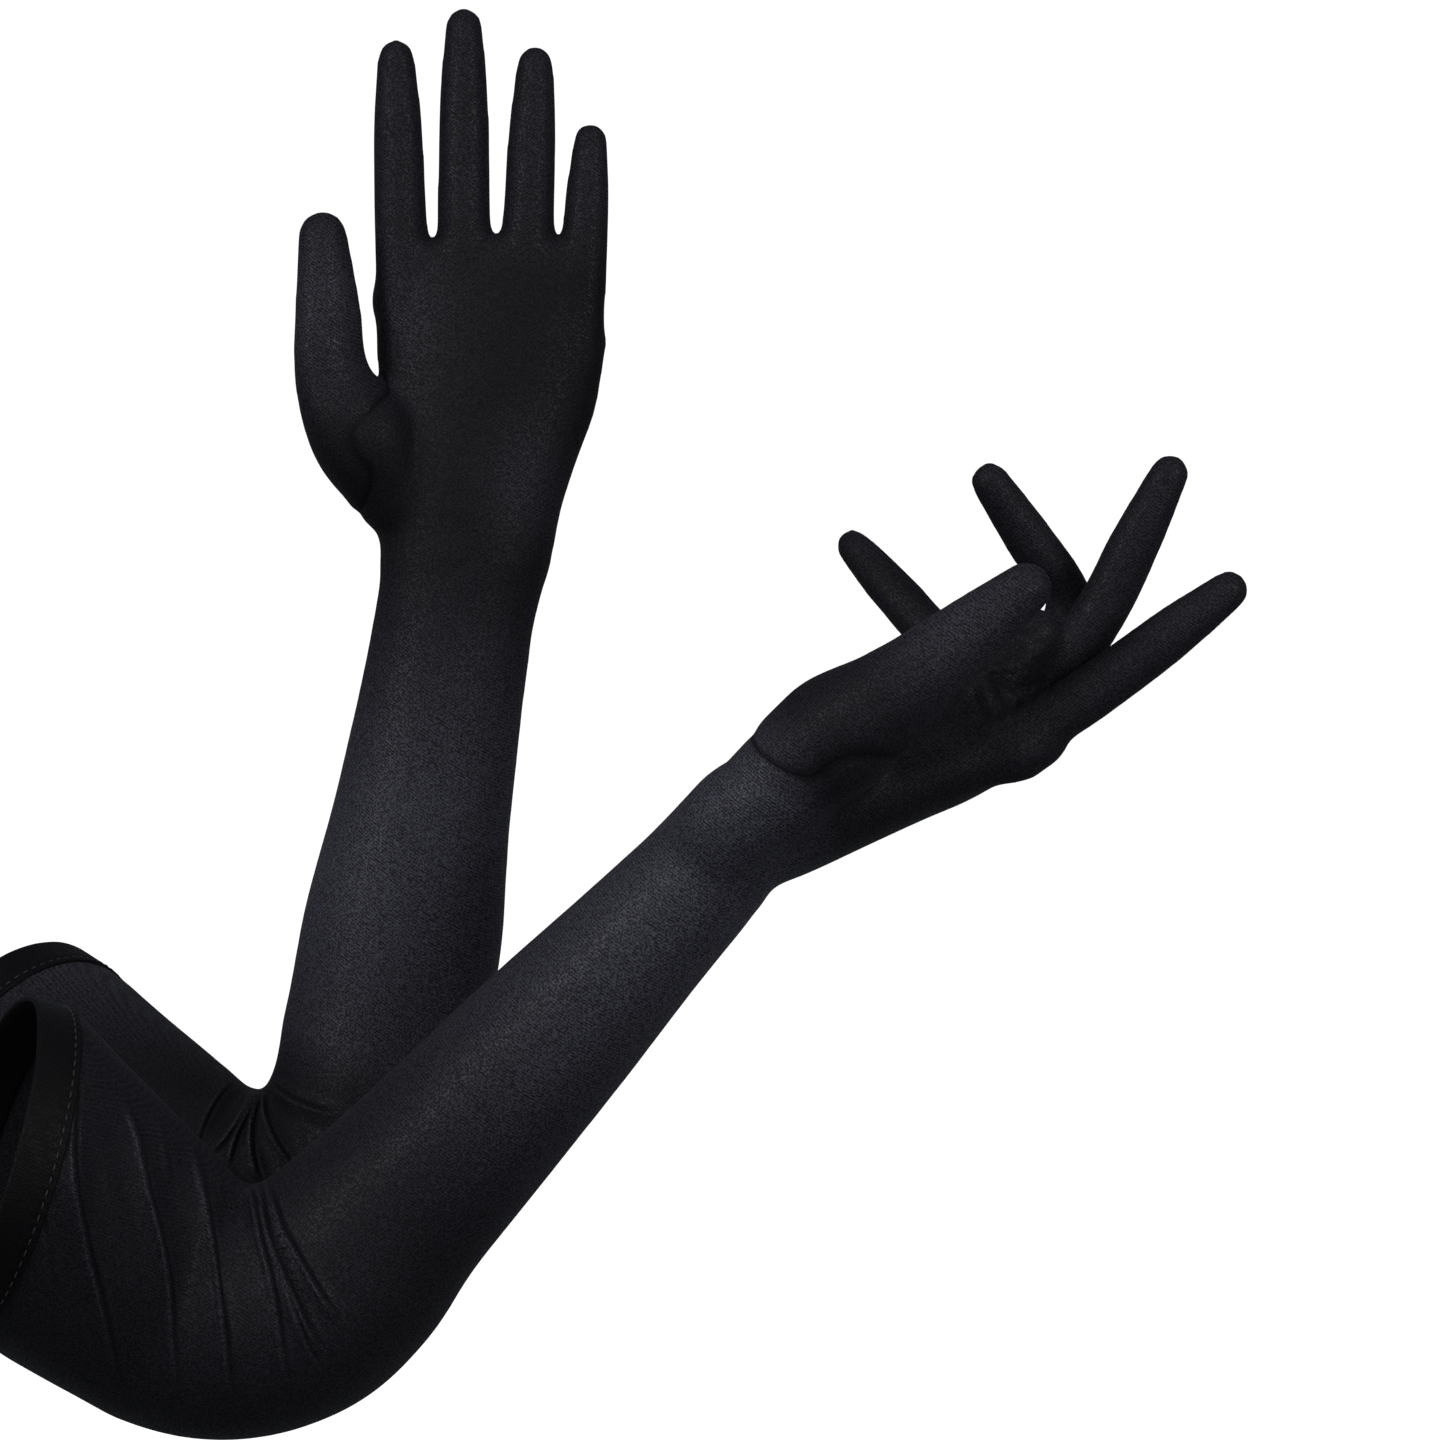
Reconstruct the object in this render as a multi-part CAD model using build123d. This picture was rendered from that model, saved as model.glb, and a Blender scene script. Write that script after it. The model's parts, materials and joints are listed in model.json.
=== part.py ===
from build123d import *
from math import cos, radians, sin
import os

# A pair of worn-shape opera gloves in stretch satin, hollow, with the arms bent at the elbow.
# Millimetres and degrees. The origin is the middle of the right glove's cuff opening, +Z up.

# Cloth and clearances
fabric = 0.9  # thickness of the satin
body_gap = 0.3  # air between pieces that move apart
seam_depth = 2.0  # how far the overlocked seam edge stands into the glove
stitch_size = (2.0, 0.45, 0.45)  # along the hem, across it, proud of it
stitch_count = 84

# Cuff and sleeve
cuff_radius = 54.0  # inside
hem_length = 15.0
upper_radius = 41.0  # outside, where the upper sleeve meets the elbow
elbow_radius = 36.0  # outside, where the elbow meets the forearm
crook_gap = 4.0  # from the elbow's turning line to the cloth in the crook
forearm_length = 194.0  # from the elbow's end to the middle of the wrist
forearm_shape = ((0.3, 35.0, 29.5), (0.55, 30.5, 26.5), (0.8, 28.0, 23.0))  # share, half width, half depth
wrist_size = (28.3, 21.0)  # half width and half depth at the forearm's end
wrist_back = 16.0  # soft zone of the wrist, towards the elbow
wrist_front = 14.0  # and towards the fingers

# Hand, in its own frame: x to the fingers, y to one side, z out of the palm
hand_sections = (
    # distance from wrist, middle towards the thumb, half width, half depth
    (14.0, -1.0, 31.0, 20.5),
    (32.0, -4.0, 34.5, 18.5),
    (55.0, -8.0, 38.5, 16.0),
    (78.0, -8.5, 40.5, 14.0),
    (105.0, -8.5, 40.0, 12.5),
)
knuckle_reach = 88.0  # from the wrist to the knuckle line, at the middle finger
knuckle_slope = 13.5  # the knuckle line falls back towards the little finger
knuckle_gap = 2.6  # from the slanted knuckle line to a finger's square end

# Fingers: offset towards the thumb, spread, root, middle and tip radius, base and tip length
fingers = {
    "index": (22.0, 1.5, 9.2, 8.7, 7.6, 35.0, 48.0),
    "middle": (0.5, 0.0, 9.2, 8.7, 7.7, 45.0, 54.0),
    "ring": (-20.5, -2.5, 9.2, 8.6, 7.5, 40.0, 51.0),
    "little": (-40.0, -3.0, 8.2, 7.7, 6.7, 28.0, 41.0),
}

# Thumb
thumb_root_radius = 14.0  # where it rises out of the palm
thumb_ball_radius = 18.5
thumb_base_radius = 12.4  # where the moving stall starts
thumb_tip_radius = 8.5

right = {
    "name": "right",
    "thumb_side": -1,
    "cuff": Vector(0, 0, 0),
    "cuff_axis": Vector(0.911, 0.29, -0.293),
    "crook": Vector(85.1, 30.0, -7.1),
    "upper_angle": -28.5,
    "forearm_angle": 46.8,
    "forearm_lean": -2.9,
    "wide": Vector(0, 1, 0),
    "hand_way": Vector(0.918, 0.106, 0.382),
    "palm_normal": Vector(-0.345, -0.28, 0.896),
    # how far each finger is bent at its knuckle and middle joint, and fanned out once bent
    "flexed": {"index": (11, 6, 0), "middle": (27, 17, 0), "ring": (23, 84, 0), "little": (92, 10, 48)},
    "thumb": ((16, 24, 14), (62, 38, 36), (117, 40, 51)),
    "thumb_opens": (0, 0.95, -0.3),
}
left = {
    "name": "left",
    "thumb_side": 1,
    "cuff": Vector(-21.0, 230.0, 13.0),
    "cuff_axis": Vector(0.75, -0.5, -0.43),
    "crook": Vector(77.7, 165.0, 15.9),
    "upper_angle": -22.0,
    "forearm_angle": 80.0,
    "forearm_lean": -4.5,
    "wide": Vector(1, 0, 0),
    "hand_way": Vector(0, 0, 1),
    "palm_normal": Vector(0, -1, 0),
    "flexed": {"index": (0, 0, 0), "middle": (0, 0, 0), "ring": (0, 0, 0), "little": (0, 0, 0)},
    "thumb": ((20, 24, 8), (60, 45, 12), (118, 50.5, 16)),
    "thumb_opens": (0, 0.7, -0.7),
}


def heading(angle, lean=0.0):
    """Unit vector in the X-Z plane, tipped towards the back by lean."""
    flat = cos(radians(lean))
    return Vector(cos(radians(angle)) * flat, sin(radians(lean)), sin(radians(angle)) * flat)


def section(centre, way, wide, half_width, half_depth):
    """An ellipse across the direction way, with its long side along wide."""
    plane = Plane(origin=centre, x_dir=wide, z_dir=way)
    return plane * Ellipse(half_width, half_depth)


def solid_through(rings, shrink=0.0):
    """A solid through rings of centre, way, wide, half width and half depth."""
    return loft([section(c, n, w, a - shrink, b - shrink) for c, n, w, a, b in rings])


def tube_through(rings):
    """A cloth tube whose outside follows the rings."""
    return solid_through(rings) - solid_through(rings, fabric)


def elbow_ring(glove, angle, radius, shift=0.0):
    """A ring about the crook line, shifted along the arm."""
    way = heading(angle)
    out = heading(angle - 90)
    centre = glove["crook"] + out * (crook_gap + radius) + way * shift
    return centre, way, Vector(0, 1, 0), radius, radius


def forearm_line(glove):
    """The forearm's start, its direction and the middle of the wrist."""
    start = elbow_ring(glove, glove["forearm_angle"], elbow_radius)[0]
    way = heading(glove["forearm_angle"], glove["forearm_lean"])
    return start, way, start + way * forearm_length


def hand_plane(glove):
    """The hand's frame at the middle of the wrist."""
    wrist = forearm_line(glove)[2]
    return Plane(origin=wrist, x_dir=glove["hand_way"], z_dir=glove["palm_normal"])


def in_hand(glove, point):
    """A point given as reach, towards the thumb, out of the palm."""
    reach, side, rise = point
    return Vector(reach, side * glove["thumb_side"], rise)


def upper_rings(glove):
    way = glove["cuff_axis"].normalized()
    start = glove["cuff"] + way * hem_length
    radius = cuff_radius + fabric
    end = elbow_ring(glove, glove["upper_angle"], upper_radius)
    return [(start, way, Vector(0, 1, 0), radius, radius), end]


def elbow_rings(glove):
    low, high = glove["upper_angle"], glove["forearm_angle"]
    steps = 5
    rings = []
    for i in range(steps):
        share = i / (steps - 1)
        radius = upper_radius + (elbow_radius - upper_radius) * share
        shift = body_gap * (1 - 2 * share)
        rings.append(elbow_ring(glove, low + (high - low) * share, radius, shift))
    return rings


def forearm_rings(glove):
    start, way = forearm_line(glove)[:2]
    wide = glove["wide"]
    length = forearm_length - wrist_back
    rings = [(start, heading(glove["forearm_angle"]), wide, elbow_radius, elbow_radius)]
    rings += [(start + way * (length * share), way, wide, a, b) for share, a, b in forearm_shape]
    return rings + [(start + way * length, way, wide) + wrist_size]


def hand_ring(glove, values):
    reach, side, half_width, half_depth = values
    plane = hand_plane(glove)
    centre = plane.from_local_coords(in_hand(glove, (reach, side, 0)))
    return centre, plane.x_dir, plane.y_dir, half_width, half_depth


def wrist_rings(glove):
    start, way = forearm_line(glove)[:2]
    back = start + way * (forearm_length - wrist_back + body_gap)
    reach, side, half_width, half_depth = hand_sections[0]
    front = hand_ring(glove, (reach - body_gap, side, half_width, half_depth))
    return [(back, way, glove["wide"]) + wrist_size, front]


def cuff_hem(glove):
    plane = Plane(origin=glove["cuff"], x_dir=(0, 1, 0), z_dir=glove["cuff_axis"])
    ring = Circle(cuff_radius + 2 * fabric) - Circle(cuff_radius)
    return extrude(plane * ring, hem_length)


def cuff_stitching(glove):
    plane = Plane(origin=glove["cuff"], x_dir=(0, 1, 0), z_dir=glove["cuff_axis"])
    along, across, proud = stitch_size
    rise = hem_length - 2 * across
    places = PolarLocations(cuff_radius + 2 * fabric + proud / 2 + 0.02, stitch_count)
    stitch = Box(proud, along, across)
    stitches = [plane * Pos(0, 0, rise) * place * stitch for place in places]
    return Compound(children=stitches)


def hand_solid(glove, shrink=0.0):
    """The hand without its thumb, cut square to the knuckle line."""
    rings = [hand_ring(glove, values) for values in hand_sections]
    block = solid_through(rings, shrink)
    turn = Rot(0, 0, knuckle_slope * -glove["thumb_side"])
    front = hand_plane(glove).location * Pos(knuckle_reach, 0, 0) * turn
    far_side = front * Pos(100, 0, 0) * Box(200, 300, 100)
    return block - far_side


def thumb_rings(glove):
    """Rings up the ball of the thumb, from the heel of the palm to the moving stall."""
    plane = hand_plane(glove)
    root, base, tip = (plane.from_local_coords(in_hand(glove, p)) for p in glove["thumb"])
    way = (base - root).normalized()
    end_way = (tip - base).normalized()
    middle = (root + base) * 0.5
    radii = (thumb_root_radius, thumb_ball_radius, thumb_base_radius)
    places = ((root, way), (middle, way), (base - end_way * body_gap, end_way))
    return [(c, n, plane.y_dir, r, r) for (c, n), r in zip(places, radii)]


def thumb_place(glove):
    """The stall's frame: its turning line on y, x to the tip, z the way it opens."""
    plane = hand_plane(glove)
    base, tip = (plane.from_local_coords(in_hand(glove, p)) for p in glove["thumb"][1:])
    opens = plane.from_local_coords(in_hand(glove, glove["thumb_opens"])) - plane.origin
    way = (tip - base).normalized()
    opens = (opens - way * opens.dot(way)).normalized()
    pivot = Plane(origin=base + opens * thumb_base_radius, x_dir=way, z_dir=opens)
    return pivot.location, (tip - base).length


def finger_place(glove, name):
    """The finger's frame at its knuckle: x along it, z the way it folds."""
    offset, spread, root_radius = fingers[name][:3]
    side = glove["thumb_side"]
    line = sin(radians(knuckle_slope)) / cos(radians(knuckle_slope))
    reach = knuckle_reach + offset * line + knuckle_gap
    bent, _, fanned = glove["flexed"][name]
    root = hand_plane(glove).location * Pos(reach, offset * side, 0) * Rot(0, 0, spread * side)
    return root * Rot(fanned * side, 0, 0) * Pos(0, 0, root_radius) * Rot(0, -bent, 0)


def tip_place(glove, name):
    """The frame at the finger's middle joint."""
    base_length = fingers[name][5]
    return finger_place(glove, name) * Pos(base_length, 0, 0) * Rot(0, -glove["flexed"][name][1], 0)


def stall_solid(base_radius, tip_radius, length, shrink=0.0):
    """A cone with a round end along x, whose folding side is level with the x axis at its base."""
    straight = length - tip_radius
    upright = (Align.CENTER, Align.CENTER, Align.MIN)
    cone = Cone(base_radius - shrink, tip_radius - shrink, straight, align=upright)
    end = Pos(0, 0, straight) * Sphere(tip_radius - shrink)
    return Pos(0, 0, -base_radius) * Rot(0, 90, 0) * (cone + end)


def round_stall(base_radius, tip_radius, length):
    """A closed cloth fingertip."""
    sizes = (base_radius, tip_radius, length)
    return stall_solid(*sizes) - stall_solid(*sizes, fabric)


def finger_base(glove, name):
    root_radius, middle_radius = fingers[name][2:4]
    length = fingers[name][5] - body_gap
    ahead = Vector(1, 0, 0)
    wide = Vector(0, 1, 0)
    rings = [(Vector(0, 0, -root_radius), ahead, wide, root_radius, root_radius)]
    rings += [(Vector(length, 0, -middle_radius), ahead, wide, middle_radius, middle_radius)]
    return finger_place(glove, name) * tube_through(rings)


def finger_tip(glove, name):
    middle_radius, tip_radius = fingers[name][3:5]
    return tip_place(glove, name) * round_stall(middle_radius, tip_radius, fingers[name][6])


def thumb_stall(glove):
    place, length = thumb_place(glove)
    return place * round_stall(thumb_base_radius, thumb_tip_radius, length)


def seam_edge(rings, side, inside):
    """The overlocked edge in the hollow inside, down the side that wide points to."""
    strips = []
    for centre, way, wide, half_width, half_depth in rings:
        plane = Plane(origin=centre, x_dir=wide, z_dir=way)
        middle = side * (half_width - fabric - seam_depth / 2)
        strips.append(plane * Pos(middle, 0, 0) * Rectangle(2 * seam_depth, 2 * fabric))
    return loft(strips) & inside


def thumb_seam(glove):
    """The seam edge inside the palm, round the hole that the thumb is set into."""
    rings = thumb_rings(glove)
    collar = solid_through(rings, -seam_depth) - solid_through(rings)
    lining = hand_solid(glove, fabric) - hand_solid(glove, 2 * fabric)
    return collar & lining


def hand_pieces(glove):
    """The palm, the back and the ball of the thumb."""
    outside = hand_solid(glove)
    thumb_hole = solid_through(thumb_rings(glove))
    shell = outside - hand_solid(glove, fabric) - thumb_hole
    place = hand_plane(glove).location
    palm_side = place * Pos(0, 0, 100) * Box(400, 400, 200)
    ball = tube_through(thumb_rings(glove)) - outside
    return {"palm_panel": shell & palm_side, "back_panel": shell - palm_side, "thumb_gusset": ball}


def glove_pieces(glove):
    # the seams run down the little finger's side
    little_side = -glove["thumb_side"]
    arm_side = 1 if glove["wide"].dot(hand_plane(glove).y_dir) > 0 else -1
    upper, forearm = upper_rings(glove), forearm_rings(glove)
    hand = [hand_ring(glove, values) for values in hand_sections]
    forearm_seam = seam_edge(forearm, little_side * arm_side, solid_through(forearm, fabric))
    pieces = {
        "cuff_hem": cuff_hem(glove),
        "cuff_stitching": cuff_stitching(glove),
        "upper_sleeve": tube_through(upper),
        "elbow_sleeve": tube_through(elbow_rings(glove)),
        "forearm_sleeve": tube_through(forearm),
        "wrist_sleeve": tube_through(wrist_rings(glove)),
        "upper_side_seam": seam_edge(upper, 1, solid_through(upper, fabric)),
        "forearm_side_seam": forearm_seam,
        "hand_side_seam": seam_edge(hand, little_side, hand_solid(glove, fabric)),
        "thumb_seam": thumb_seam(glove),
        "thumb_stall": thumb_stall(glove),
    }
    pieces.update(hand_pieces(glove))
    for name in fingers:
        pieces[name + "_base"] = finger_base(glove, name)
        pieces[name + "_tip"] = finger_tip(glove, name)
    return pieces


os.makedirs("parts", exist_ok=True)
for glove in (right, left):
    for name, piece in glove_pieces(glove).items():
        export_step(piece, f"parts/{glove['name']}_{name}.step")
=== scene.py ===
import bpy, bmesh, json
import numpy as np
from math import pi, sin, cos, radians, atan2
from mathutils import Vector, Matrix, noise


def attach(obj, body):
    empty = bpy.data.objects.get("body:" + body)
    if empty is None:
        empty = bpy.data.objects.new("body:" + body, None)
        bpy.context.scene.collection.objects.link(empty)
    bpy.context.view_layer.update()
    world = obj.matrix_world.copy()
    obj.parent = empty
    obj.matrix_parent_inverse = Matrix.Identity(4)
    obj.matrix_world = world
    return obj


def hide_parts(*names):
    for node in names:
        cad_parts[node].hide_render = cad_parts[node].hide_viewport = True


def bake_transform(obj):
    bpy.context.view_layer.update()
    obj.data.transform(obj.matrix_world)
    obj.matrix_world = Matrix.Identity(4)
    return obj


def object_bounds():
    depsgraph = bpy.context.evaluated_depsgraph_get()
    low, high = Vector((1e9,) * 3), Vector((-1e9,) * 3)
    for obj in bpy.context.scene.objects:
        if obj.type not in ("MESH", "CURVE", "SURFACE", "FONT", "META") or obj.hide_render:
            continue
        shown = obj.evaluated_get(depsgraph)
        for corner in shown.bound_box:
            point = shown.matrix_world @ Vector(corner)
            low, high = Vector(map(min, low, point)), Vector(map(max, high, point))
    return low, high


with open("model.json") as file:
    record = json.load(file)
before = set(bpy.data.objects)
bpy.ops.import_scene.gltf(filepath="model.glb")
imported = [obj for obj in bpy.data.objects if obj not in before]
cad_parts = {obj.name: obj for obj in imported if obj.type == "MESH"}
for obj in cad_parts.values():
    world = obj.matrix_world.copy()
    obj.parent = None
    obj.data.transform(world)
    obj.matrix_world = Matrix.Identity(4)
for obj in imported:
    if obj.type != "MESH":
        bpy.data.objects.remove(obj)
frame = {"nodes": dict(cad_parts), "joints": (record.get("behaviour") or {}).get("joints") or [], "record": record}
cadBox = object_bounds()

mm = 0.001
print("frame loaded")


class Socket:
    # wraps a shader socket, so that maths on it reads as maths
    def __init__(self, tree, link):
        self.tree, self.link = tree, link

    def maths(self, operation, other=None, swap=False):
        node = self.tree.nodes.new("ShaderNodeMath")
        node.operation = operation
        first, second = (other, self) if swap else (self, other)
        for spot, value in ((0, first), (1, second)):
            if isinstance(value, Socket):
                self.tree.links.new(value.link, node.inputs[spot])
            elif value is not None:
                node.inputs[spot].default_value = value
        return Socket(self.tree, node.outputs[0])

    def __add__(self, other): return self.maths("ADD", other)
    def __radd__(self, other): return self.maths("ADD", other)
    def __sub__(self, other): return self.maths("SUBTRACT", other)
    def __rsub__(self, other): return self.maths("SUBTRACT", other, swap=True)
    def __mul__(self, other): return self.maths("MULTIPLY", other)
    def __rmul__(self, other): return self.maths("MULTIPLY", other)
    def __truediv__(self, other): return self.maths("DIVIDE", other)
    def size(self): return self.maths("ABSOLUTE")
    def largest(self, other): return self.maths("MAXIMUM", other)

    def clipped(self):
        out = self.maths("ADD", 0.0)
        out.link.node.use_clamp = True
        return out


class Cloth:
    # one material: its tree, its shader and a short way to add nodes
    def __init__(self, name):
        self.material = bpy.data.materials.new(name)
        self.material.use_nodes = True
        self.tree = self.material.node_tree
        self.shader = self.tree.nodes["Principled BSDF"]

    def node(self, kind, settings=None, sockets=None, out=0):
        node = self.tree.nodes.new(kind)
        for name, value in (settings or {}).items():
            setattr(node, name, value)
        for name, value in (sockets or {}).items():
            if isinstance(value, Socket):
                self.tree.links.new(value.link, node.inputs[name])
            else:
                node.inputs[name].default_value = value
        return Socket(self.tree, node.outputs[out])

    def place(self):
        return self.node("ShaderNodeTexCoord", out="Object")

    def field(self, name):
        return self.node("ShaderNodeAttribute", {"attribute_name": name}, out="Fac")

    def noise(self, scale, detail=2.0, rough=0.5, spot=None):
        sockets = {"Vector": spot or self.place(), "Scale": scale, "Detail": detail, "Roughness": rough}
        return self.node("ShaderNodeTexNoise", None, sockets, out="Fac")

    def mixed(self, amount, first, second):
        mix = self.tree.nodes.new("ShaderNodeMix")
        mix.data_type = "RGBA"
        self.tree.links.new(amount.link, mix.inputs["Factor"])
        for spot, value in ((6, first), (7, second)):
            if isinstance(value, Socket):
                self.tree.links.new(value.link, mix.inputs[spot])
            else:
                mix.inputs[spot].default_value = (*value, 1.0)
        return Socket(self.tree, mix.outputs[2])

    def bumped(self, height, distance, strength=1.0):
        sockets = {"Height": height, "Distance": distance, "Strength": strength}
        return self.node("ShaderNodeBump", None, sockets)

    def wire(self, name, socket):
        self.tree.links.new(socket.link, self.shader.inputs[name])

    def set(self, **values):
        for name, value in values.items():
            self.shader.inputs[name].default_value = value


# satin: near-black, paler where it is drawn tight, a paleness that is partly painted light, with painted shade in
# its seams, fold valleys and bunched creases, a fine sparkle and faint twill lines
satinLook = {
    "deep": (0.0013, 0.0013, 0.0022), "lit": (0.1000, 0.1000, 0.1320), "creaseShade": (0.0008, 0.0008, 0.0013),
    "roughness": 0.44, "specular": 0.15, "sheen": 0.02, "sheenTint": (0.75, 0.78, 1.0, 1.0),
    "twillPitch": 0.95 * mm, "twillTurn": (0.2, 0.95, 0.35), "speckle": 0.52 * mm, "seamWidth": 0.9 * mm,
}
# what each layer adds to the colour, and how far it stands out, in millimetres; in the colour, the taut share is
# partly painted light and the ridge share is partly a painted highlight on fold crests
satinTone = {"patches": 0.12, "grains": 0.66, "twill": 0.26, "ridge": 0.75, "loose": 0.10, "tautAndPaintedLight": 0.95}
satinRelief = {
    "twill": 0.05, "grains": 0.08, "threads": 0.04, "seam": 0.45, "ridge": 1.5, "valley": 1.3, "crumple": 3.0,
}
# how deep the painted shade is along each line: the seam, a fold's valley, the bunched palm and its creases; and
# the half widths of a fold's ridge and of the valley beside it
satinLineShade = {"seam": 0.85, "valley": 0.95, "gather": 0.6, "creaseShade": 0.4}
foldMark = {"groups": 3, "ridge": 1.7, "valley": 1.1, "valleyAway": 1.6}


def foldMarks(cloth, none):
    # each fold is a rounded ridge with a sharp valley along one side, and the satin paints that valley near-black
    # as shade
    valley, ridge = none, none
    for group in range(foldMark["groups"]):
        away, strength = cloth.field(f"foldLine{group}"), cloth.field(f"foldSize{group}").clipped()
        dip = 1.0 - (away - foldMark["valleyAway"]).size() / foldMark["valley"]
        valley = valley.largest(dip.clipped() * strength)
        ridge = ridge.largest((1.0 - away.size() / foldMark["ridge"]).clipped() * strength)
    return valley, ridge


def makeSatin(name, matt=0.0):
    cloth = Cloth(name)
    look, tone, relief, lines = satinLook, satinTone, satinRelief, satinLineShade
    patches, threads = cloth.noise(34.0, 3.0), cloth.noise(480.0, 2.0, 0.6)
    sparkle, crumple = cloth.noise(0.75 / look["speckle"], 1.0, 0.8), cloth.noise(210.0, 2.0, 0.5)
    turned = cloth.node("ShaderNodeMapping", None, {"Vector": cloth.place(), "Rotation": look["twillTurn"]})
    waves = {"Vector": turned, "Scale": 0.314 / look["twillPitch"], "Distortion": 0.8, "Detail": 1.0}
    waves["Detail Scale"] = 0.6
    twill = cloth.node("ShaderNodeTexWave", {"wave_type": "BANDS", "bands_direction": "X"}, waves, out="Fac")
    grains = ((sparkle - 0.5) * 6.5 + 0.42).clipped()
    # the thumb seam: a groove in the relief, with a line painted near-black as the shade in that groove
    seam = (1.0 - (cloth.field("seamLine").size() / look["seamWidth"])).clipped()
    valley, ridge = foldMarks(cloth, seam * 0.0)
    # paleness where the satin is drawn tight, partly painted light
    tautAndPaintedLight, gather = cloth.field("stretchAndPaintedLight"), cloth.field("gather").clipped()
    creaseShades = (1.0 - (crumple - 0.5).size() * 9.0).clipped()

    weave = tone["patches"] * patches + tone["grains"] * grains * (0.35 + 0.9 * threads) + tone["twill"] * twill
    # fold crests painted paler: partly cloth drawn tight over them, partly a painted highlight
    shade = (weave * (tone["loose"] + tone["tautAndPaintedLight"] * tautAndPaintedLight) + tone["ridge"] * ridge * ridge * weave).clipped()
    # the bunched palm and its crumpled creases are painted near-black as shade
    bunched = gather * (lines["gather"] + lines["creaseShade"] * creaseShades)
    # painted shade: seams, fold valleys and the bunched palm are mixed towards the near-black crease colour
    paintedShade = (seam * lines["seam"]).largest(valley * lines["valley"]).largest(bunched)
    cloth.wire("Base Color", cloth.mixed(paintedShade, cloth.mixed(shade, look["deep"], look["lit"]), look["creaseShade"]))

    rough = look["roughness"] + matt + 0.12 * (patches - 0.5) - 0.24 * (grains - 0.5) + 0.15 * valley
    cloth.wire("Roughness", (rough + 0.10 * (1.0 - tautAndPaintedLight)).clipped())
    height = relief["twill"] * twill + relief["grains"] * grains + relief["threads"] * threads
    height = height - relief["seam"] * seam + relief["ridge"] * (ridge * ridge) - relief["valley"] * valley
    cloth.wire("Normal", cloth.bumped(height + relief["crumple"] * gather * crumple, 1.0 * mm, 0.9))
    cloth.set(**{"Specular IOR Level": look["specular"], "Sheen Weight": look["sheen"],
                 "Sheen Roughness": 0.4, "Sheen Tint": look["sheenTint"]})
    return cloth.material


def makeThread():
    cloth = Cloth("sewingThread")
    waves = {"Vector": cloth.place(), "Scale": 700.0, "Distortion": 0.5}
    turns = cloth.node("ShaderNodeTexWave", None, waves, out="Fac")
    colour = cloth.mixed(turns, (0.006, 0.006, 0.008), (0.02, 0.02, 0.026))
    cloth.wire("Base Color", colour)
    cloth.wire("Roughness", 0.45 + 0.2 * cloth.noise(900.0))
    cloth.wire("Normal", cloth.bumped(turns, 0.08 * mm, 0.6))
    cloth.set(**{"Sheen Weight": 0.15})
    return cloth.material


satin = makeSatin("blackSatin")
hemSatin = makeSatin("hemSatin", 0.04)
thread = makeThread()
print("materials made")

# the studio, in metres: pale floor and wall of light, with the gloves' own light from the front
studio = {"cameraBack": 2.0, "viewWidth": 0.4653, "aim": (0.2397, 0.1412), "floorDrop": 0.24, "ambient": 0.09}
# name, place from the middle of the gloves, width and power
studioLamps = (
    ("left", (-1.35, -1.35, 0.75), 0.8, 15.0),
    ("right", (1.35, -1.35, 0.55), 0.8, 12.0),
    ("front", (-0.2, -1.9, 1.2), 0.6, 3.0),
    ("top", (0.0, -0.5, 1.9), 0.8, 2.4),
)


def makeLamp(name, spot, aim, size, watts):
    light = bpy.data.lights.new(name, "AREA")
    light.shape, light.size, light.energy = "DISK", size, watts
    lamp = bpy.data.objects.new(name, light)
    bpy.context.scene.collection.objects.link(lamp)
    lamp.location = spot
    lamp.rotation_euler = (Vector(aim) - Vector(spot)).to_track_quat("-Z", "Y").to_euler()
    return lamp


def makeStudio():
    scene = bpy.context.scene
    low, high = (Vector(v) for v in cadBox)
    middle = (low + high) / 2
    camera = bpy.data.cameras.new("camera")
    camera.lens = camera.sensor_width * studio["cameraBack"] / studio["viewWidth"]
    cameraObject = bpy.data.objects.new("camera", camera)
    scene.collection.objects.link(cameraObject)
    cameraObject.location = (studio["aim"][0], -studio["cameraBack"], studio["aim"][1])
    cameraObject.rotation_euler = (pi / 2, 0, 0)
    scene.camera = cameraObject
    scene.view_settings.view_transform = "Standard"

    world = bpy.data.worlds.new("studio")
    scene.world = world
    world.use_nodes = True
    tree = world.node_tree
    shown = tree.nodes["Background"]
    shown.inputs["Color"].default_value = (1.0, 1.0, 1.0, 1.0)
    shown.inputs["Strength"].default_value = 1.05
    falls = tree.nodes.new("ShaderNodeBackground")
    falls.inputs["Color"].default_value = (0.9, 0.94, 1.0, 1.0)
    falls.inputs["Strength"].default_value = studio["ambient"]
    which = tree.nodes.new("ShaderNodeMixShader")
    path = tree.nodes.new("ShaderNodeLightPath")
    tree.links.new(path.outputs["Is Camera Ray"], which.inputs[0])
    tree.links.new(falls.outputs[0], which.inputs[1])
    tree.links.new(shown.outputs[0], which.inputs[2])
    tree.links.new(which.outputs[0], tree.nodes["World Output"].inputs[0])

    floorMesh = bmesh.new()
    bmesh.ops.create_grid(floorMesh, x_segments=2, y_segments=2, size=12.0)
    floor = linked("studioFloor", floorMesh)
    floor.data.transform(Matrix.Translation((0, 0, low.z - studio["floorDrop"])))
    paint = Cloth("floorPaint")
    speck = paint.noise(3.0)
    paint.wire("Base Color", paint.mixed(speck, (0.93, 0.93, 0.93), (0.96, 0.96, 0.96)))
    paint.set(**{"Roughness": 0.9, "Emission Color": (1, 1, 1, 1), "Emission Strength": 1.0})
    floor.data.materials.append(paint.material)
    floor.visible_glossy = False
    floor.visible_diffuse = False
    floor.visible_shadow = False

    for name, offset, size, watts in studioLamps:
        makeLamp(name, middle + Vector(offset), middle, size, watts)


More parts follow.
